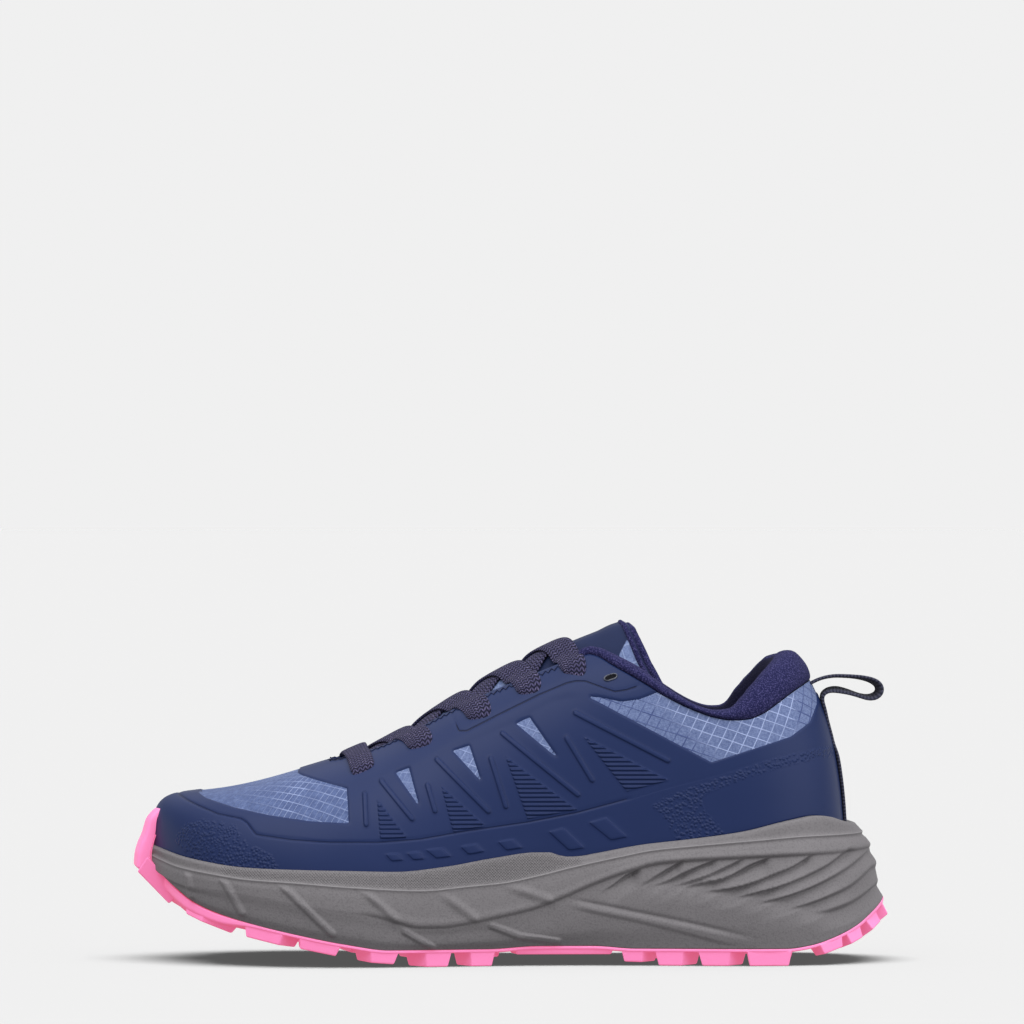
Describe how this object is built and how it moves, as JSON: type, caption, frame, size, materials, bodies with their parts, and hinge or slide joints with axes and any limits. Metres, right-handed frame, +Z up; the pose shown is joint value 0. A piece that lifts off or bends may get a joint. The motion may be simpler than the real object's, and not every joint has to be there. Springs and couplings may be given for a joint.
{
  "type": "waterproof sneaker",
  "caption": "Low trail running shoe with a ripstop bootie, welded navy film cage, padded collar and tongue, flat laces, flared grey foam midsole and pink lugged rubber outsole.",
  "frame": {"origin": "on the floor plane, under the middle of the bounding box", "axes": "+X to the heel, -X to the toe, -Y to the outer (lateral) side, +Y to the inner side, +Z up"},
  "size_m": [0.2788, 0.1012, 0.1261],
  "materials": {
    "outsole_rubber": "satin pink rubber",
    "midsole_foam": "matt grey foam",
    "insole_fabric": "matt dark fabric",
    "ripstop": "light blue ripstop",
    "film": "welded navy film",
    "collar_knit": "dark navy knit",
    "tongue_fabric": "light blue mesh with a navy front",
    "lace": "flat woven lace",
    "webbing": "woven webbing"
  },
  "bodies": {
    "root": {"outsole": "outsole_rubber", "midsole": "midsole_foam", "insole": "insole_fabric", "upper": "ripstop", "toe_guard": "film", "side_cage": "film", "heel_counter": "film", "collar": "collar_knit", "tongue": "tongue_fabric", "lace_bar": "lace", "lace_cross_1": "lace", "lace_cross_2": "lace", "lace_cross_3": "lace", "lace_cross_4": "lace", "pull_loop": "webbing"}
  },
  "joints": []
}
